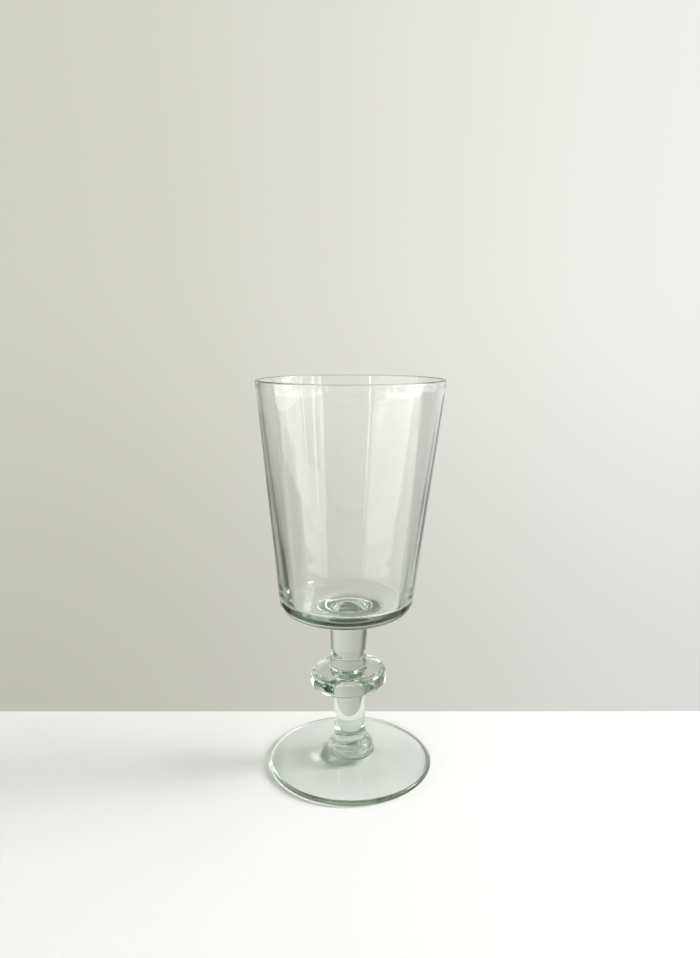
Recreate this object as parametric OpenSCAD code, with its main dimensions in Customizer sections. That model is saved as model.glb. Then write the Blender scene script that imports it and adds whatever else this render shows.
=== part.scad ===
// Hand-made water goblet in pale green glass, millimetres, +Z up.
// The origin is the middle of the foot's underside, where the goblet stands on the table.
// Seven gathers of glass, fused hot end to end: foot, collar, stem, disc knop, neck, stem, bowl.

/* [Foot] */
// Diameter of the foot
foot_d = 75.6; // [60:0.2:90]
// Thickness of the foot at its rim
foot_edge_t = 2.7; // [1.6:0.1:4]
// Thickness of the foot under the collar
foot_middle_t = 5.2; // [4.2:0.1:7]

/* [Foot collar] */
// Diameter of the bead of glass on the foot
collar_d = 22; // [19:0.2:28]
// Height of the bead
collar_h = 8.3; // [6:0.1:12]

/* [Stem] */
// Diameter of the stem at its thinnest
stem_d = 14.4; // [10:0.1:17]
// Length of the lower stem, from the bead to the knop
lower_stem_h = 24.7; // [18:0.1:40]
// Length of the upper stem, from the neck to the bowl
upper_stem_h = 20.4; // [14:0.1:30]
// How much wider the upper stem is where its straight taper ends
upper_taper = 1.6; // [1:0.1:4]
// Diameter of the joint between the flared upper stem and the bowl
joint_d = 34.8; // [24:0.2:40]
// Height of the flare
flare_h = 7.4; // [3:0.1:9]

/* [Knop] */
// Diameter of the disc
knop_d = 35.1; // [28:0.1:44]
// Thickness of the disc at its rounded edge
knop_edge_t = 8.6; // [7:0.1:12]
// Radius of the disc's rounded edges
knop_round_r = 3; // [1.5:0.1:3.3]
// How far the disc's core stands out above and below it
knop_crown = 0.6; // [0.5:0.1:1.2]

/* [Knop neck] */
// Diameter of the short neck on the disc
neck_d = 17; // [15.6:0.1:20]
// Height of the neck
neck_h = 6; // [4:0.1:9]

/* [Bowl] */
// Height of the bowl, from its underside to its rim
bowl_h = 105.6; // [80:0.2:130]
// Outer diameter of the rim
rim_d = 83; // [72:0.2:94]
// Outer diameter of the bowl where the sloping wall would meet its underside
bowl_base_d = 59.4; // [52:0.2:68]
// Radius of the bowl's rounded lower edge
bowl_round_r = 7.3; // [5:0.1:12]
// Slope of the underside from the joint up to the lower edge, in degrees
under_slope = 3.7; // [0:0.1:6]
// Thickness of the rounded bead at the rim
rim_bead_d = 2.6; // [2.4:0.1:3.6]
// How far the bead stands out beyond the wall
rim_proud = 0.3; // [0.2:0.05:0.5]
// Thickness of the wall under the rim
rim_wall = 2; // [1.4:0.1:2.1]
// Thickness of the wall just above the floor
base_wall = 5.1; // [3.4:0.1:6]
// Thickness of the bowl's floor
floor_t = 6.2; // [4.5:0.1:8]
// Radius of the inside corner between floor and wall
floor_round_r = 2.6; // [2:0.1:6]

/* [Hand-made lean] */
// Sideways place of the lower stem
lower_stem_off = -0.5; // [-1:0.1:1]
// Sideways place of the knop
knop_off = -1; // [-1.5:0.1:1.5]
// Tilt of the disc, in degrees
knop_tilt = -2.6; // [-3:0.1:3]
// Sideways place of the neck and the upper stem
upper_stem_off = -1.2; // [-1.5:0.1:1.5]
// Sideways place of the bowl's underside, below a rim that is centred on the foot
bowl_off = -2.2; // [-3:0.1:3]

/* [Hidden] */
$fn = 96;

glass = [0.80, 0.87, 0.82];
arc_steps = 10;
swell_steps = 6;

// Heights of the joints, each piece standing on the one below
collar_z = foot_middle_t;
lower_stem_z = collar_z + collar_h;
knop_z = lower_stem_z + lower_stem_h;
neck_z = knop_z + knop_edge_t + 2 * knop_crown;
upper_stem_z = neck_z + neck_h;
bowl_z = upper_stem_z + upper_stem_h;

// Points of an arc from angle a0 to a1 about a centre
function arc(centre, r, a0, a1) =
    [for (i = [0:arc_steps]) let (a = a0 + (a1 - a0) * i / arc_steps) centre + r * [cos(a), sin(a)]];

// A turned piece, set down at a height and a sideways place, and tilted there
module turned(points, z, off = 0, tilt = 0) {
    translate([off, 0, z]) rotate([0, tilt, 0]) rotate_extrude() polygon(points);
}

// Foot: a thin disc that thickens towards the collar
foot_round_r = foot_edge_t / 2;
foot_flat_r = foot_d / 2 - foot_round_r;
foot_swell_power = 1.5;
foot_top_points =
    [for (i = [1:swell_steps])
        let (share = i / swell_steps)
        [foot_flat_r + (collar_d / 2 - foot_flat_r) * share,
            foot_edge_t + (foot_middle_t - foot_edge_t) * pow(share, foot_swell_power)]];

module foot() {
    color(glass) turned(concat(
        [[0, 0]],
        arc([foot_flat_r, foot_round_r], foot_round_r, -90, 90),
        foot_top_points,
        [[0, foot_middle_t]]), 0);
}

// Collar: a bead whose side rises straight and then rounds in to the stem
collar_side_share = 0.22;
collar_lip = 0.7;
collar_top_d = stem_d + 2 * collar_lip;
function collar_radius(a) = collar_top_d / 2 + (collar_d - collar_top_d) / 2 * cos(a);
collar_points =
    [for (i = [0:arc_steps])
        let (a = 90 * i / arc_steps)
        [collar_radius(a), collar_h * (collar_side_share + (1 - collar_side_share) * sin(a))]];

module foot_collar() {
    color(glass) turned(concat([[0, 0], [collar_d / 2, 0]], collar_points, [[0, collar_h]]), collar_z);
}

// Lower stem: straight, with a small sweep on to the collar
module lower_stem() {
    color(glass) turned(concat(
        [[0, 0]],
        arc([collar_top_d / 2, collar_lip], collar_lip, -90, -180),
        [[stem_d / 2, lower_stem_h], [0, lower_stem_h]]), lower_stem_z, lower_stem_off);
}

// Knop: a thick disc with rounded edges and a swelling side, squeezed out askew round a straight core
knop_bulge = 0.4;
knop_core_lip = 0.5;
knop_core_r = neck_d / 2 + knop_core_lip;
knop_corner = knop_d / 2 - knop_bulge - knop_round_r;
knop_h = knop_edge_t + 2 * knop_crown;

module knop() {
    color(glass) {
        translate([0, 0, knop_z + knop_h / 2]) turned(concat(
            [[0, -knop_edge_t / 2]],
            arc([knop_corner, knop_round_r - knop_edge_t / 2], knop_round_r, -90, 0),
            [[knop_d / 2, 0]],
            arc([knop_corner, knop_edge_t / 2 - knop_round_r], knop_round_r, 0, 90),
            [[0, knop_edge_t / 2]]), 0, knop_off, knop_tilt);
        turned([[0, 0], [knop_core_r - knop_crown, 0], [knop_core_r + knop_crown, 2 * knop_crown],
            [knop_core_r + knop_crown, knop_h - 2 * knop_crown], [knop_core_r - knop_crown, knop_h],
            [0, knop_h]], knop_z, knop_off);
    }
}

// Neck: a short bead between the knop and the upper stem, with a fine ring at its upper joint
neck_swell = 1;
neck_low_power = 0.8;
neck_end_r = neck_d / 2 - neck_swell;
neck_points =
    [for (i = [0:arc_steps])
        let (share = i / arc_steps)
        [neck_end_r + neck_swell * sin(180 * pow(share, neck_low_power)), neck_h * share]];

module knop_neck() {
    color(glass) turned(concat([[0, 0]], neck_points, [[0, neck_h]]), neck_z, upper_stem_off);
}

// Upper stem: tapers wider upwards, then flares on to the underside of the bowl
joint_ring = 0.1;
upper_foot_r = neck_end_r + joint_ring;
upper_top_r = upper_foot_r + upper_taper / 2;
flare_points =
    [for (i = [0:arc_steps])
        let (a = 90 * i / arc_steps)
        [joint_d / 2 - (joint_d / 2 - upper_top_r) * cos(a), upper_stem_h - flare_h * (1 - sin(a))]];

module upper_stem() {
    color(glass) turned(concat(
        [[0, 0], [upper_foot_r, 0]],
        flare_points,
        [[0, upper_stem_h]]), upper_stem_z, upper_stem_off);
}

// Bowl: a straight sloping wall, thicker towards its floor, which leans below a level rim
wall_slope = (rim_d - 2 * rim_proud - bowl_base_d) / 2 / bowl_h;
wall_angle = atan(wall_slope);
bowl_tilt = atan(-bowl_off / bowl_h);
// Height of the level seat that stands inside the leaning floor, so that the stem touches all over
seat_h = floor_t / 4;
rim_z = bowl_z + bowl_h - rim_bead_d / 2;
// How far the sloping wall runs on past the rim's bead before it is cut level
rim_run = rim_bead_d / 2;
function outer_r(z) = bowl_base_d / 2 + wall_slope * z;
wall_power = 1.3;
function wall_t(z) =
    let (share = (bowl_h - z) / (bowl_h - floor_t))
    rim_wall + (base_wall - rim_wall) * pow(max(share, 0), wall_power);
function inner_r(z) = outer_r(z) - wall_t(z);
// Centre of the lower edge's rounding, which touches the sloping underside and the wall
under_rise = tan(under_slope);
bowl_corner_x = (bowl_base_d / 2 + wall_slope * (bowl_round_r / cos(under_slope) - joint_d / 2 * under_rise)
    - bowl_round_r / cos(wall_angle)) / (1 - wall_slope * under_rise);
bowl_corner_z = (bowl_corner_x - joint_d / 2) * under_rise + bowl_round_r / cos(under_slope);
inner_corner_z = floor_t + floor_round_r;
inner_wall_points =
    [for (i = [0:swell_steps])
        let (z = bowl_h + rim_run - (bowl_h + rim_run - inner_corner_z) * i / swell_steps) [inner_r(z), z]];

module bowl() {
    color(glass) {
        intersection() {
            turned(concat(
                [[0, 0], [joint_d / 2, 0]],
                arc([bowl_corner_x, bowl_corner_z], bowl_round_r, under_slope - 90, -wall_angle),
                [[outer_r(bowl_h + rim_run), bowl_h + rim_run]],
                inner_wall_points,
                arc([inner_r(inner_corner_z) - floor_round_r, inner_corner_z], floor_round_r, 0, -90),
                [[0, floor_t]]), bowl_z, bowl_off, bowl_tilt);
            translate([0, 0, bowl_z]) cylinder(d = 2 * rim_d, h = rim_z - bowl_z);
        }
        translate([upper_stem_off, 0, bowl_z]) cylinder(d = joint_d, h = seat_h);
        translate([0, 0, rim_z]) rotate_extrude()
            translate([rim_d / 2 - rim_bead_d / 2, 0]) circle(d = rim_bead_d);
    }
}

foot();
foot_collar();
lower_stem();
knop();
knop_neck();
upper_stem();
bowl();
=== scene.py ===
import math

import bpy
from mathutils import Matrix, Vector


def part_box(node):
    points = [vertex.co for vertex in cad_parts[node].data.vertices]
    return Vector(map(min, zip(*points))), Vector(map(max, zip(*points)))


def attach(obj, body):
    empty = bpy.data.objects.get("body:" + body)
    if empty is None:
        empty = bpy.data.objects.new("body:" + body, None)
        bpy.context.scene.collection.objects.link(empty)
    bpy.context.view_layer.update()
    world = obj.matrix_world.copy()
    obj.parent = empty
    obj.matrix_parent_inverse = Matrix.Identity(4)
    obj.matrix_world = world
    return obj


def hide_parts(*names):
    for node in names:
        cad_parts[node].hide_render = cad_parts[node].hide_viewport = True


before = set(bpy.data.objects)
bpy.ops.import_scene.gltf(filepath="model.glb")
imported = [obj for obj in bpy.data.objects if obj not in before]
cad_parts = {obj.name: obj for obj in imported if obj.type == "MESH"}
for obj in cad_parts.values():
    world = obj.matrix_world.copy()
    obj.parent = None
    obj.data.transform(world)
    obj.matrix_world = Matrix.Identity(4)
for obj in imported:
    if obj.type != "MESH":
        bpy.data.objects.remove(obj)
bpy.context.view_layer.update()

# Hand-made water goblet in pale green glass: seven gathers, each a closed piece, fused hot end to end.
# Lengths are millimetres, and metres where MM multiplies them. Angles are degrees.

MM = 0.001


def span(node):
    """The lowest and highest corner of a CAD node."""
    low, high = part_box(node)
    return low / MM, high / MM


# Sizes that the frame gives
foot_r = span("foot")[1].x
collar_z = span("foot_collar")[0].z
neck_z = span("knop_neck")[0].z
upper_stem_z = span("knop_neck")[1].z
bowl_z = span("bowl")[0].z
rim_z = span("bowl")[1].z

# Foot
foot_edge_t = 2.7
foot_edge_round = 1.25
foot_joint_r = 10.0
foot_swell_power = 1.5
foot_swell_steps = 14

# Collar, radius and height above its lower joint; its left side rises straight to a shoulder
COLLAR = [(foot_joint_r, 0), (10.95, 0.7), (11.05, 1.6), (10.8, 3.1), (10.1, 5.0), (9.0, 6.8), (8.1, 8.3)]
COLLAR_LEFT = [(foot_joint_r, 0), (10.75, 0.7), (10.8, 1.6), (10.7, 3.1), (10.3, 4.6), (8.7, 5.8),
               (8.1, 8.3)]

# Lower stem, radius and height above the foot
LOWER_STEM = [(8.1, 13.5), (7.5, 15.4), (7.25, 17.5), (7.2, 20), (7.2, 28), (7.2, 36), (7.25, 37.8)]

# Knop
knop_r = 17.56
knop_bottom = 38.75
knop_top = 47.44
knop_round = 3.0
knop_bulge = 0.38
knop_tilt = -2.6
knop_stem_r = 7.6
knop_neck_r = 7.4
knop_crevice_r = 9.2
knop_crevice_round = 1.2

# Neck, radius and height above the foot
NECK = [(knop_neck_r, neck_z), (8.1, 48.5), (8.48, 49.6), (8.42, 51), (8.1, 52.8), (7.9, upper_stem_z)]

# Upper stem, radius and height above the foot
bowl_joint_r = 17.4
UPPER_STEM = [(7.9, upper_stem_z), (8.05, 56.4), (8.3, 60.3), (8.5, 64.2)]
flare_r = 8.65
flare_h = 7.4
flare_steps = 12

# Bowl
bowl_round = 7.3
bowl_under_slope = 3.7
bowl_wall_z = 80.0
bowl_wall_r = 30.3
bowl_slope = 0.1115
floor_z = 80.6
floor_round = 2.6
floor_wall_t = 5.1
rim_t = 2.1
rim_round = 0.8

# Height and thickness of the bowl's wall, from the rim down
WALL = [(177, 1.75), (174, 1.7), (165, 1.9), (150, 2.4), (136, 2.9), (122, 3.5), (113, 3.8), (104, 4.1),
        (90, 4.5)]

# Ripples of the wall: count round the bowl, size, and shift in radians per millimetre of height
RIPPLES = [(3, 0.05, 0.01), (7, 0.03, -0.02), (17, 0.014, 0.004), (29, 0.01, -0.003), (47, 0.006, 0.002)]
outer_ripple_share = 0.25
ripple_rim_fade = 12.0
ripple_floor_gap = 6.0
ripple_floor_fade = 14.0
half_wall = 1.0

# Meshes
turns = 384
run_step = 0.8
arc_step = 4.0
joint_gap = 0.01
crease_angle = 40.0
overrun = 1.0


def lerp(a, b, share):
    return a + (b - a) * share


def smooth(share):
    share = min(max(share, 0.0), 1.0)
    return share * share * (3 - 2 * share)


def through(knots, value):
    """The smooth curve through knots (place, numbers...) at a place, flat at each end."""
    if value <= knots[0][0]:
        return knots[0][1:]
    for before, after in zip(knots, knots[1:]):
        if value <= after[0]:
            share = smooth((value - before[0]) / (after[0] - before[0]))
            return [lerp(a, b, share) for a, b in zip(before[1:], after[1:])]
    return knots[-1][1:]


def rounded(corners):
    """An outline of (radius, height, rounding) corners, with the corners rounded and long runs divided."""
    points = []
    for i, (r, z, rounding) in enumerate(corners):
        here = Vector((r, z))
        if not rounding:
            piece = [here]
        else:
            back = (Vector(corners[i - 1][:2]) - here).normalized()
            on = (Vector(corners[i + 1][:2]) - here).normalized()
            half = back.angle(on) / 2
            centre = here + (back + on).normalized() * rounding / math.sin(half)
            first = (here + back * rounding / math.tan(half) - centre).normalized()
            last = (here + on * rounding / math.tan(half) - centre).normalized()
            steps = max(2, round(math.degrees(first.angle(last)) / arc_step))
            piece = [centre + first.slerp(last, k / steps) * rounding for k in range(steps + 1)]
        if points:
            run = (piece[0] - points[-1]).length
            steps = max(1, round(run / run_step))
            start = points[-1]
            points += [start.lerp(piece[0], k / steps) for k in range(1, steps)]
        points += piece
    return points


def curve(knots, steps=None):
    """An outline that runs smoothly through (radius, height) knots, in even or given steps."""
    knots = [Vector(k) for k in knots]
    steps = steps or [max(2, round((b - a).length / run_step)) for a, b in zip(knots, knots[1:])]
    ends = [2 * knots[0] - knots[1], *knots, 2 * knots[-1] - knots[-2]]
    points = []
    for a, b, c, d, count in zip(ends, ends[1:], ends[2:], ends[3:], steps):
        tangent_b = (c - a) * (c - b).length / ((b - a).length + (c - b).length)
        tangent_c = (d - b) * (c - b).length / ((c - b).length + (d - c).length)
        for k in range(count):
            s = k / count
            points.append((2 * s**3 - 3 * s**2 + 1) * b + (s**3 - 2 * s**2 + s) * tangent_b
                          + (3 * s**2 - 2 * s**3) * c + (s**3 - s**2) * tangent_c)
    return [*points, knots[-1]]


# Height, sideways place and tilt of the hand-made axis; a tilt above zero has its right side lower
AXIS = [(0, 0, 0), (13.5, 0, 0), (17, -0.4, 0), (36, -0.6, 0), (38.5, -1.0, knop_tilt),
        (47.6, -1.0, knop_tilt), (49.6, -1.2, 4), (54, -1.15, 3), (57, -1.05, 0), (66, -0.8, 0),
        (73.6, -0.8, 0)]
bowl_off = -2.2
bowl_tilt = math.degrees(math.atan(-bowl_off / (rim_z - bowl_z)))
bowl_tilt_fade = 12.0
underside_rise = 1.0
joint_fade = 8.0


def stem_axis(r, z):
    return through(AXIS, z)


def bowl_axis(r, z):
    """The bowl leans from its underside to its level rim, and its joint lies over the upper stem."""
    share = (z - bowl_z) / (rim_z - bowl_z)
    off = bowl_off * (1 - share)
    tilt = bowl_tilt * smooth((z - bowl_z) / bowl_tilt_fade) * smooth((rim_z - z) / bowl_tilt_fade)
    joint = 1 - smooth((r - bowl_joint_r) / joint_fade)
    if z < bowl_z + underside_rise:
        off = lerp(off, AXIS[-1][1], joint)
    return off, tilt


def ripple(turn, r, z):
    """The small waves round the bowl's wall, weaker outside, which fade at the rim and the floor."""
    inside = r < wall_outer(z) - half_wall
    over_floor = z - floor_z - ripple_floor_gap
    fade = smooth((rim_z - z) / ripple_rim_fade) * smooth(over_floor / ripple_floor_fade)
    fade *= 1 if inside else outer_ripple_share
    height = 0
    for count, size, lean in RIPPLES:
        height += size * math.sin(count * turn + lean * z + (count if inside else 0))
    return height * fade


def turned(name, outline, axis, joints, left=None, wave=None):
    """A closed piece turned from an outline that starts and ends on the axis. joints names the fused ends,
    left is the outline of the left side, and wave adds to the radius."""
    left = left or outline
    verts, faces, fused = [], [], []
    rings = []
    for (r, z), (left_r, left_z) in zip(outline, left):
        count = turns if r > 0 else 1
        rings.append(range(len(verts), len(verts) + count))
        for k in range(count):
            turn = 2 * math.pi * k / turns
            share = smooth((1 - math.cos(turn)) / 2)
            radius, height = lerp(r, left_r, share), lerp(z, left_z, share)
            if wave:
                radius += wave(turn, radius, height)
            off, tilt = axis(radius, height)
            x, y = radius * math.cos(turn), radius * math.sin(turn)
            lean = math.radians(tilt)
            verts.append(Vector((off + x * math.cos(lean), y, height - x * math.sin(lean))) * MM)
    for i, (low, high) in enumerate(zip(rings, rings[1:])):
        joint = (i == 0 and "bottom" in joints) or (i == len(rings) - 2 and "top" in joints)
        for k in range(turns):
            n = (k + 1) % turns
            if len(low) == 1:
                face = (low[0], high[n], high[k])
            elif len(high) == 1:
                face = (low[k], low[n], high[0])
            else:
                face = (low[k], low[n], high[n], high[k])
            faces.append(face)
            fused.append(float(joint))
    mesh = bpy.data.meshes.new(name)
    mesh.from_pydata(verts, [], faces)
    mesh.attributes.new("joint", "FLOAT", "FACE").data.foreach_set("value", fused)
    mesh.shade_smooth()
    mesh.set_sharp_from_angle(angle=math.radians(crease_angle))
    piece = bpy.data.objects.new(name, mesh)
    bpy.context.scene.collection.objects.link(piece)
    return piece


def fused_ends(outline, bottom, top):
    """Adds the flat ends on the axis, a hair inside the joints' planes."""
    out = [Vector(p) for p in outline]
    if bottom:
        out[0].y += joint_gap / 2
        out = [Vector((0, out[0].y)), *out]
    if top:
        out[-1].y -= joint_gap / 2
        out = [*out, Vector((0, out[-1].y))]
    return out


def foot():
    inner = foot_r - foot_edge_round
    swell = []
    for i in range(1, foot_swell_steps + 1):
        share = i / foot_swell_steps
        swell.append(Vector((lerp(inner, foot_joint_r, share),
                             lerp(foot_edge_t, collar_z, share**foot_swell_power))))
    edge = rounded([(0, 0, 0), (foot_r, 0, foot_edge_round), (foot_r, foot_edge_t, foot_edge_round),
                    (inner - overrun, foot_edge_t, 0)])[:-1]
    return turned("foot_glass", fused_ends([*edge, *swell], False, True), stem_axis, ["top"])


def collar():
    right, left = ([(r, collar_z + h) for r, h in knots] for knots in (COLLAR, COLLAR_LEFT))
    steps = [max(2, round((Vector(b) - Vector(a)).length / run_step)) for a, b in zip(right, right[1:])]
    right, left = (fused_ends(curve(knots, steps), True, True) for knots in (right, left))
    return turned("collar_glass", right, stem_axis, ["bottom", "top"], left)


def lower_stem():
    outline = curve([*LOWER_STEM, (knop_stem_r, knop_bottom)])
    return turned("lower_stem_glass", fused_ends(outline, True, True), stem_axis, ["bottom", "top"])


def knop():
    middle = (knop_bottom + knop_top) / 2
    outline = rounded([(knop_stem_r, knop_bottom, 0), (knop_r - knop_bulge, knop_bottom, knop_round),
                       (knop_r, middle, 0), (knop_r - knop_bulge, knop_top, knop_round),
                       (knop_crevice_r, knop_top, knop_crevice_round), (knop_neck_r, neck_z, 0)])
    return turned("knop_glass", fused_ends(outline, True, True), stem_axis, ["bottom", "top"])


def knop_neck():
    return turned("neck_glass", fused_ends(curve(NECK), True, True), stem_axis, ["bottom", "top"])


def upper_stem():
    flare = []
    for i in range(flare_steps + 1):
        turn = math.radians(90 * i / flare_steps)
        flare.append(Vector((lerp(bowl_joint_r, flare_r, math.cos(turn)),
                             bowl_z - flare_h * (1 - math.sin(turn)))))
    stem = curve([*UPPER_STEM, flare[0]])[:-1]
    return turned("upper_stem_glass", fused_ends([*stem, *flare], True, True), stem_axis, ["bottom", "top"])


def wall_outer(z):
    """The outer radius of the bowl's straight wall at a height."""
    return bowl_wall_r + bowl_slope * (z - bowl_wall_z)


def bowl():
    edge_z = bowl_z + (wall_outer(bowl_z) - bowl_joint_r) * math.tan(math.radians(bowl_under_slope))
    outer = rounded([(bowl_joint_r, bowl_z, 0), (wall_outer(edge_z), edge_z, bowl_round),
                     (wall_outer(rim_z), rim_z, rim_round), (wall_outer(rim_z) - rim_t, rim_z, rim_round),
                     (wall_outer(WALL[0][0]) - WALL[0][1], WALL[0][0], 0)])
    inner = curve([(wall_outer(z) - t, z) for z, t in WALL])[1:]
    low_z, low_t = WALL[-1]
    corner_r = wall_outer(floor_z) - floor_wall_t
    floor = rounded([(wall_outer(low_z) - low_t, low_z, 0), (corner_r, floor_z, floor_round),
                     (0, floor_z, 0)])[1:]
    outline = fused_ends([*outer, *inner, *floor], True, False)
    return turned("bowl_glass", outline, bowl_axis, ["bottom"], wave=ripple)


# Glass
glass_ior = 1.5
glass_colour = (0.42, 0.54, 0.41, 1)
glass_density = 24.0
glass_bounces = 32


def glass():
    """Clear green glass, whose fused faces bend no light."""
    made = bpy.data.materials.new("green_glass")
    made.use_nodes = True
    nodes, links = made.node_tree.nodes, made.node_tree.links
    shader = nodes["Principled BSDF"]
    shader.inputs["Base Color"].default_value = (1, 1, 1, 1)
    shader.inputs["Roughness"].default_value = 0
    shader.inputs["Transmission Weight"].default_value = 1
    shader.inputs["IOR"].default_value = glass_ior
    joint = nodes.new("ShaderNodeAttribute")
    joint.attribute_name = "joint"
    index = nodes.new("ShaderNodeMapRange")
    index.inputs["To Min"].default_value = glass_ior
    index.inputs["To Max"].default_value = 1
    links.new(joint.outputs["Fac"], index.inputs["Value"])
    links.new(index.outputs["Result"], shader.inputs["IOR"])
    inside = nodes.new("ShaderNodeVolumeAbsorption")
    inside.inputs["Color"].default_value = glass_colour
    inside.inputs["Density"].default_value = glass_density
    links.new(inside.outputs["Volume"], nodes["Material Output"].inputs["Volume"])
    return made


PIECES = {"foot": foot, "foot_collar": collar, "lower_stem": lower_stem, "knop": knop,
          "knop_neck": knop_neck, "upper_stem": upper_stem, "bowl": bowl}
green_glass = glass()
for node, make in PIECES.items():
    piece = make()
    piece.data.materials.append(green_glass)
    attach(piece, "root")
    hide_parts(node)

# Camera, from the ellipses of the rim and the foot in the photograph
camera_focal_px = 760.6
photo_h_px = 958
camera_pitch = 10.534
camera_place = Vector((-0.3, -331.9, 197.6))
sensor = 36.0
camera_near = 10.0
camera = bpy.data.objects.new("camera", bpy.data.cameras.new("camera"))
camera.data.sensor_width = sensor
camera.data.lens = camera_focal_px / photo_h_px * sensor
camera.location = camera_place * MM
camera.rotation_euler = (math.radians(90 - camera_pitch), 0, 0)
camera.data.clip_start = camera_near * MM
bpy.context.scene.collection.objects.link(camera)
bpy.context.scene.camera = camera

# Table, a hair under the foot
table_back = 47.5
table_front = 1200.0
table_side = 1500.0
table_drop = 0.05
table_white = (0.95, 0.95, 0.94, 1)
table_roughness = 0.9
table_shine = 0.1


def table():
    mesh = bpy.data.meshes.new("table")
    corners = ((-table_side, -table_front), (table_side, -table_front), (table_side, table_back),
               (-table_side, table_back))
    mesh.from_pydata([Vector((x, y, -table_drop)) * MM for x, y in corners], [], [(0, 1, 2, 3)])
    piece = bpy.data.objects.new("table", mesh)
    bpy.context.scene.collection.objects.link(piece)
    white = bpy.data.materials.new("table")
    white.use_nodes = True
    matt = white.node_tree.nodes["Principled BSDF"]
    matt.inputs["Base Color"].default_value = table_white
    matt.inputs["Roughness"].default_value = table_roughness
    matt.inputs["Specular IOR Level"].default_value = table_shine
    mesh.materials.append(white)


table()

# Room: a pale wall behind, brighter to the right and upwards, which ends above and left of the picture.
# The rest is dim. A pair says where along a direction's x (right), y (back) or z (up) a change runs.
WALL_LEFT = (0.51, 0.51, 0.45, 1)
WALL_RIGHT = (0.71, 0.71, 0.685, 1)
ROOM = (0.13, 0.13, 0.12, 1)
wall_across_x = (-0.45, 0.5)
wall_back_y = (0.35, 0.8)
wall_left_x = (-0.7, -0.42)
wall_top_z = (0.36, 0.5)
wall_lift_z = (-0.5, 0.1)
wall_lift = 1.24
wall_dim_z = (0.3, 1.0)
wall_dim = 0.9


def room():
    world = bpy.data.worlds.new("room")
    world.use_nodes = True
    nodes, links = world.node_tree.nodes, world.node_tree.links

    def ramp(value, start, end, high=1, low=0):
        node = nodes.new("ShaderNodeMapRange")
        node.interpolation_type = "SMOOTHSTEP"
        for name, number in zip(("From Min", "From Max", "To Min", "To Max"), (start, end, low, high)):
            node.inputs[name].default_value = number
        links.new(value, node.inputs["Value"])
        return node.outputs["Result"]

    def mixed(share, low, high):
        node = nodes.new("ShaderNodeMix")
        node.data_type = "RGBA"
        links.new(share, node.inputs["Factor"])
        for name, colour in (("A", low), ("B", high)):
            socket = [s for s in node.inputs if s.name == name and s.type == "RGBA"][0]
            if isinstance(colour, tuple):
                socket.default_value = colour
            else:
                links.new(colour, socket)
        return [s for s in node.outputs if s.type == "RGBA"][0]

    def times(a, b):
        node = nodes.new("ShaderNodeMath")
        node.operation = "MULTIPLY"
        links.new(a, node.inputs[0])
        links.new(b, node.inputs[1])
        return node.outputs[0]

    way = nodes.new("ShaderNodeSeparateXYZ")
    links.new(nodes.new("ShaderNodeTexCoord").outputs["Generated"], way.inputs["Vector"])
    x, y, z = way.outputs
    wall = mixed(ramp(x, *wall_across_x), WALL_LEFT, WALL_RIGHT)
    behind = times(times(ramp(y, *wall_back_y), ramp(x, *wall_left_x)), ramp(z, *wall_top_z, 0, 1))
    strength = times(ramp(z, *wall_lift_z, wall_lift, 1), ramp(z, *wall_dim_z, wall_dim, 1))
    background = nodes["Background"]
    links.new(mixed(behind, ROOM, wall), background.inputs["Color"])
    links.new(strength, background.inputs["Strength"])
    bpy.context.scene.world = world


room()


def softbox(name, azimuths, elevations, distance, radiance, colour=(1, 1, 1)):
    """A soft lamp that fills a window of directions, seen from the middle of the goblet."""
    aim = Vector((0, 0, 0.1))
    turn, rise = math.radians(sum(azimuths) / 2), math.radians(sum(elevations) / 2)
    width = 2 * distance * math.tan(math.radians(azimuths[1] - azimuths[0]) / 2) * math.cos(rise)
    height = 2 * distance * math.tan(math.radians(elevations[1] - elevations[0]) / 2)
    lamp = bpy.data.lights.new(name, "AREA")
    lamp.shape = "RECTANGLE"
    lamp.size, lamp.size_y = width * MM, height * MM
    lamp.energy = radiance * math.pi * lamp.size * lamp.size_y
    lamp.color = colour
    way = Vector((math.sin(turn) * math.cos(rise), -math.cos(turn) * math.cos(rise), math.sin(rise)))
    place = bpy.data.objects.new(name, lamp)
    place.location = aim + way * distance * MM
    place.rotation_euler = (-way).to_track_quat("-Z", "Y").to_euler()
    place.visible_camera = False
    bpy.context.scene.collection.objects.link(place)


# Lamps: azimuths (0 on the camera's side, 90 to the right), elevations, distance, radiance and colour
softbox("left", (-101.6, -34), (-8, 17), 700, 2.1)
softbox("left_high", (-120, -34), (17, 24), 700, 1.0)
softbox("left_strip", (-28.5, -25.5), (0.5, 24), 700, 4)
softbox("right", (40, 122), (-1, 22), 700, 1.7, (1, 1, 0.97))
softbox("right_pane", (76, 105), (-2, 24), 690, 1.2, (1, 1, 0.85))
softbox("right_slit", (70, 73), (-1, 24), 680, 2.6)
softbox("right_slit_b", (51, 55), (-1, 24), 680, 2.6)
softbox("right_slit_c", (41, 45.5), (-1, 24), 680, 1.6, (1, 1, 0.85))
softbox("right_low", (42, 92), (-8, -1), 710, 2.4)
softbox("key", (86, 102), (16, 36), 1600, 20)
softbox("key_glow", (62, 126), (22, 62), 1500, 2.5)
softbox("front", (-60, 60), (14, 44), 1500, 0.5)
softbox("front_low", (-34, 41), (-4, 14), 1500, 0.9)
softbox("top", (-50, 50), (65, 115), 1500, 0.4)

bpy.context.scene.view_settings.view_transform = "Standard"
cycles = bpy.context.scene.cycles
cycles.blur_glossy = 0
cycles.sample_clamp_indirect = 0
cycles.max_bounces = glass_bounces
cycles.transmission_bounces = glass_bounces
cycles.glossy_bounces = glass_bounces
